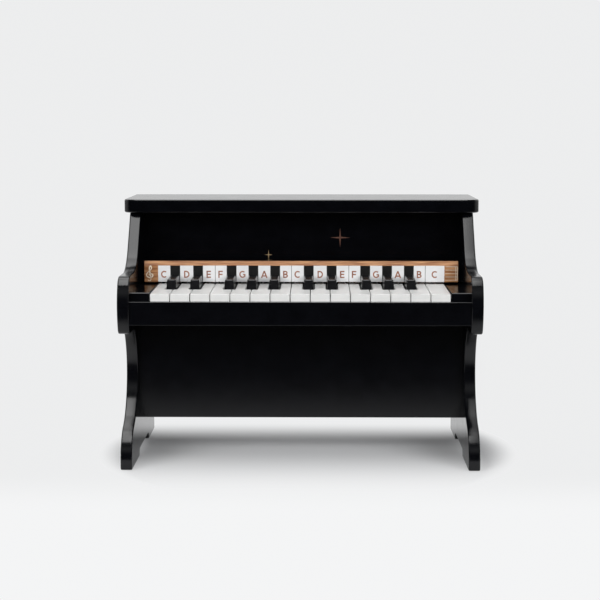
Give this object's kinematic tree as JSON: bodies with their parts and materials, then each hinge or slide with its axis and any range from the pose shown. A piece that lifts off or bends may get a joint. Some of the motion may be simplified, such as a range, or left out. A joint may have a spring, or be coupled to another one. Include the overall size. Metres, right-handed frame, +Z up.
{
  "type": "toy piano",
  "caption": "Children's upright piano in black lacquer with white and black keys whose hammers strike steel tone bars.",
  "frame": {"origin": "on the floor, under the middle of the part's box", "axes": "+X to the player's right, +Y from the player to the back, +Z up"},
  "size_m": [0.432, 0.262, 0.308],
  "materials": {
    "black_lacquer": "satin black lacquer on board",
    "black_hardboard": "matt black paint on thin hardboard",
    "printed_wood": "varnished wood with printed note labels",
    "bare_wood": "planed, unfinished",
    "steel": "bright drawn steel",
    "spring_steel": "blued spring sheet",
    "grey_plastic": "moulded, matt",
    "red_felt": "pressed felt",
    "white_plastic": "moulded, semi-gloss off-white",
    "black_plastic": "moulded, semi-gloss black"
  },
  "bodies": {
    "case": {"left_side_panel": "black_lacquer", "right_side_panel": "black_lacquer", "lid": "black_lacquer", "upper_front_panel": "black_lacquer", "lower_front_panel": "black_lacquer", "key_slip": "black_lacquer", "keybed": "black_lacquer", "left_key_block": "black_lacquer", "right_key_block": "black_lacquer", "name_rail": "black_lacquer", "action_shelf": "black_lacquer", "back_panel": "black_hardboard", "note_strip": "printed_wood", "lid_cleats": "bare_wood", "top_batten": "bare_wood", "balance_rail": "bare_wood", "back_rail": "bare_wood", "bar_rail_cleats": "bare_wood", "pivot_rod": "steel", "pivot_supports": "steel", "tone_bars": "steel", "back_panel_screws": "steel", "spring_comb": "spring_steel", "key_guide": "grey_plastic", "front_bar_rail": "grey_plastic", "rear_bar_rail": "grey_plastic", "front_felts": "red_felt", "back_felt": "red_felt", "bar_felts": "red_felt"},
    "key_c1": {"white_key_c1": "white_plastic"},
    "key_d1": {"white_key_d1": "white_plastic"},
    "key_e1": {"white_key_e1": "white_plastic"},
    "key_f1": {"white_key_f1": "white_plastic"},
    "key_g1": {"white_key_g1": "white_plastic"},
    "key_a1": {"white_key_a1": "white_plastic"},
    "key_b1": {"white_key_b1": "white_plastic"},
    "key_c2": {"white_key_c2": "white_plastic"},
    "key_d2": {"white_key_d2": "white_plastic"},
    "key_e2": {"white_key_e2": "white_plastic"},
    "key_f2": {"white_key_f2": "white_plastic"},
    "key_g2": {"white_key_g2": "white_plastic"},
    "key_a2": {"white_key_a2": "white_plastic"},
    "key_b2": {"white_key_b2": "white_plastic"},
    "key_c3": {"white_key_c3": "white_plastic"},
    "key_cs1": {"black_key_cs1": "black_plastic"},
    "key_ds1": {"black_key_ds1": "black_plastic"},
    "key_fs1": {"black_key_fs1": "black_plastic"},
    "key_gs1": {"black_key_gs1": "black_plastic"},
    "key_as1": {"black_key_as1": "black_plastic"},
    "key_cs2": {"black_key_cs2": "black_plastic"},
    "key_ds2": {"black_key_ds2": "black_plastic"},
    "key_fs2": {"black_key_fs2": "black_plastic"},
    "key_gs2": {"black_key_gs2": "black_plastic"},
    "key_as2": {"black_key_as2": "black_plastic"}
  },
  "joints": [
    {"name": "press_c1", "type": "hinge", "parent": "case", "child": "key_c1", "pos_m": [0, -0.003, 0.197], "axis": [1, 0, 0], "range_deg": [0, 3.27], "stiffness_Nm_per_rad": 0.3, "springref_deg": -5.73, "deforming": ["spring_comb"]},
    {"name": "press_d1", "type": "hinge", "parent": "case", "child": "key_d1", "pos_m": [0, -0.003, 0.197], "axis": [1, 0, 0], "range_deg": [0, 3.27], "stiffness_Nm_per_rad": 0.3, "springref_deg": -5.73, "deforming": ["spring_comb"]},
    {"name": "press_e1", "type": "hinge", "parent": "case", "child": "key_e1", "pos_m": [0, -0.003, 0.197], "axis": [1, 0, 0], "range_deg": [0, 3.27], "stiffness_Nm_per_rad": 0.3, "springref_deg": -5.73, "deforming": ["spring_comb"]},
    {"name": "press_f1", "type": "hinge", "parent": "case", "child": "key_f1", "pos_m": [0, -0.003, 0.197], "axis": [1, 0, 0], "range_deg": [0, 3.27], "stiffness_Nm_per_rad": 0.3, "springref_deg": -5.73, "deforming": ["spring_comb"]},
    {"name": "press_g1", "type": "hinge", "parent": "case", "child": "key_g1", "pos_m": [0, -0.003, 0.197], "axis": [1, 0, 0], "range_deg": [0, 3.27], "stiffness_Nm_per_rad": 0.3, "springref_deg": -5.73, "deforming": ["spring_comb"]},
    {"name": "press_a1", "type": "hinge", "parent": "case", "child": "key_a1", "pos_m": [0, -0.003, 0.197], "axis": [1, 0, 0], "range_deg": [0, 3.27], "stiffness_Nm_per_rad": 0.3, "springref_deg": -5.73, "deforming": ["spring_comb"]},
    {"name": "press_b1", "type": "hinge", "parent": "case", "child": "key_b1", "pos_m": [0, -0.003, 0.197], "axis": [1, 0, 0], "range_deg": [0, 3.27], "stiffness_Nm_per_rad": 0.3, "springref_deg": -5.73, "deforming": ["spring_comb"]},
    {"name": "press_c2", "type": "hinge", "parent": "case", "child": "key_c2", "pos_m": [0, -0.003, 0.197], "axis": [1, 0, 0], "range_deg": [0, 3.27], "stiffness_Nm_per_rad": 0.3, "springref_deg": -5.73, "deforming": ["spring_comb"]},
    {"name": "press_d2", "type": "hinge", "parent": "case", "child": "key_d2", "pos_m": [0, -0.003, 0.197], "axis": [1, 0, 0], "range_deg": [0, 3.27], "stiffness_Nm_per_rad": 0.3, "springref_deg": -5.73, "deforming": ["spring_comb"]},
    {"name": "press_e2", "type": "hinge", "parent": "case", "child": "key_e2", "pos_m": [0, -0.003, 0.197], "axis": [1, 0, 0], "range_deg": [0, 3.27], "stiffness_Nm_per_rad": 0.3, "springref_deg": -5.73, "deforming": ["spring_comb"]},
    {"name": "press_f2", "type": "hinge", "parent": "case", "child": "key_f2", "pos_m": [0, -0.003, 0.197], "axis": [1, 0, 0], "range_deg": [0, 3.27], "stiffness_Nm_per_rad": 0.3, "springref_deg": -5.73, "deforming": ["spring_comb"]},
    {"name": "press_g2", "type": "hinge", "parent": "case", "child": "key_g2", "pos_m": [0, -0.003, 0.197], "axis": [1, 0, 0], "range_deg": [0, 3.27], "stiffness_Nm_per_rad": 0.3, "springref_deg": -5.73, "deforming": ["spring_comb"]},
    {"name": "press_a2", "type": "hinge", "parent": "case", "child": "key_a2", "pos_m": [0, -0.003, 0.197], "axis": [1, 0, 0], "range_deg": [0, 3.27], "stiffness_Nm_per_rad": 0.3, "springref_deg": -5.73, "deforming": ["spring_comb"]},
    {"name": "press_b2", "type": "hinge", "parent": "case", "child": "key_b2", "pos_m": [0, -0.003, 0.197], "axis": [1, 0, 0], "range_deg": [0, 3.27], "stiffness_Nm_per_rad": 0.3, "springref_deg": -5.73, "deforming": ["spring_comb"]},
    {"name": "press_c3", "type": "hinge", "parent": "case", "child": "key_c3", "pos_m": [0, -0.003, 0.197], "axis": [1, 0, 0], "range_deg": [0, 3.27], "stiffness_Nm_per_rad": 0.3, "springref_deg": -5.73, "deforming": ["spring_comb"]},
    {"name": "press_cs1", "type": "hinge", "parent": "case", "child": "key_cs1", "pos_m": [0, -0.003, 0.197], "axis": [1, 0, 0], "range_deg": [0, 3.27], "stiffness_Nm_per_rad": 0.3, "springref_deg": -5.73, "deforming": ["spring_comb"]},
    {"name": "press_ds1", "type": "hinge", "parent": "case", "child": "key_ds1", "pos_m": [0, -0.003, 0.197], "axis": [1, 0, 0], "range_deg": [0, 3.27], "stiffness_Nm_per_rad": 0.3, "springref_deg": -5.73, "deforming": ["spring_comb"]},
    {"name": "press_fs1", "type": "hinge", "parent": "case", "child": "key_fs1", "pos_m": [0, -0.003, 0.197], "axis": [1, 0, 0], "range_deg": [0, 3.27], "stiffness_Nm_per_rad": 0.3, "springref_deg": -5.73, "deforming": ["spring_comb"]},
    {"name": "press_gs1", "type": "hinge", "parent": "case", "child": "key_gs1", "pos_m": [0, -0.003, 0.197], "axis": [1, 0, 0], "range_deg": [0, 3.27], "stiffness_Nm_per_rad": 0.3, "springref_deg": -5.73, "deforming": ["spring_comb"]},
    {"name": "press_as1", "type": "hinge", "parent": "case", "child": "key_as1", "pos_m": [0, -0.003, 0.197], "axis": [1, 0, 0], "range_deg": [0, 3.27], "stiffness_Nm_per_rad": 0.3, "springref_deg": -5.73, "deforming": ["spring_comb"]},
    {"name": "press_cs2", "type": "hinge", "parent": "case", "child": "key_cs2", "pos_m": [0, -0.003, 0.197], "axis": [1, 0, 0], "range_deg": [0, 3.27], "stiffness_Nm_per_rad": 0.3, "springref_deg": -5.73, "deforming": ["spring_comb"]},
    {"name": "press_ds2", "type": "hinge", "parent": "case", "child": "key_ds2", "pos_m": [0, -0.003, 0.197], "axis": [1, 0, 0], "range_deg": [0, 3.27], "stiffness_Nm_per_rad": 0.3, "springref_deg": -5.73, "deforming": ["spring_comb"]},
    {"name": "press_fs2", "type": "hinge", "parent": "case", "child": "key_fs2", "pos_m": [0, -0.003, 0.197], "axis": [1, 0, 0], "range_deg": [0, 3.27], "stiffness_Nm_per_rad": 0.3, "springref_deg": -5.73, "deforming": ["spring_comb"]},
    {"name": "press_gs2", "type": "hinge", "parent": "case", "child": "key_gs2", "pos_m": [0, -0.003, 0.197], "axis": [1, 0, 0], "range_deg": [0, 3.27], "stiffness_Nm_per_rad": 0.3, "springref_deg": -5.73, "deforming": ["spring_comb"]},
    {"name": "press_as2", "type": "hinge", "parent": "case", "child": "key_as2", "pos_m": [0, -0.003, 0.197], "axis": [1, 0, 0], "range_deg": [0, 3.27], "stiffness_Nm_per_rad": 0.3, "springref_deg": -5.73, "deforming": ["spring_comb"]}
  ]
}
